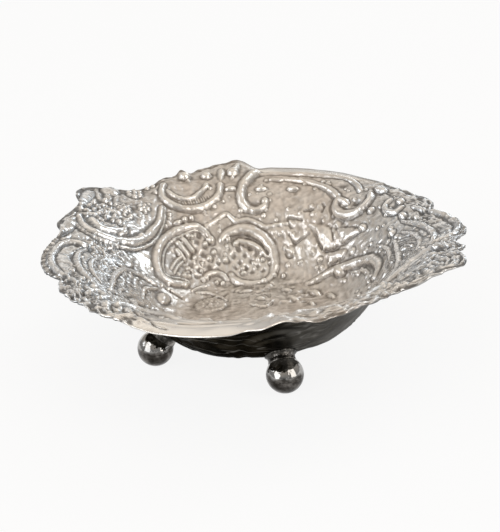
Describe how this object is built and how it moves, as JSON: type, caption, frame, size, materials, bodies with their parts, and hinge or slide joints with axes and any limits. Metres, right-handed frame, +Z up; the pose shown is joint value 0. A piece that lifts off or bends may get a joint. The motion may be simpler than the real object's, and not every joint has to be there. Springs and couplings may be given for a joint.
{
  "type": "bonbon dish",
  "caption": "Shallow round dish of embossed sheet silver with a lobed, partly lifted rim, standing on hollow ball feet, for serving sweets.",
  "frame": {"origin": "on the table plane under the middle of the dish", "axes": "+Z up out of the bowl, -Y towards the viewer of the picture, +X to the viewer's right"},
  "size_m": [0.1208, 0.1286, 0.0382],
  "materials": {
    "embossed_silver": "satin silver with darker recesses",
    "polished_silver": "mirror-polished silver, lightly tarnished",
    "solder_silver": "dull silver solder"
  },
  "bodies": {
    "root": {"dish_body": "embossed_silver", "front_foot_upper_half": "polished_silver", "front_foot_lower_half": "polished_silver", "front_foot_solder": "solder_silver", "left_foot_upper_half": "polished_silver", "left_foot_lower_half": "polished_silver", "left_foot_solder": "solder_silver", "back_foot_upper_half": "polished_silver", "back_foot_lower_half": "polished_silver", "back_foot_solder": "solder_silver"}
  },
  "joints": []
}
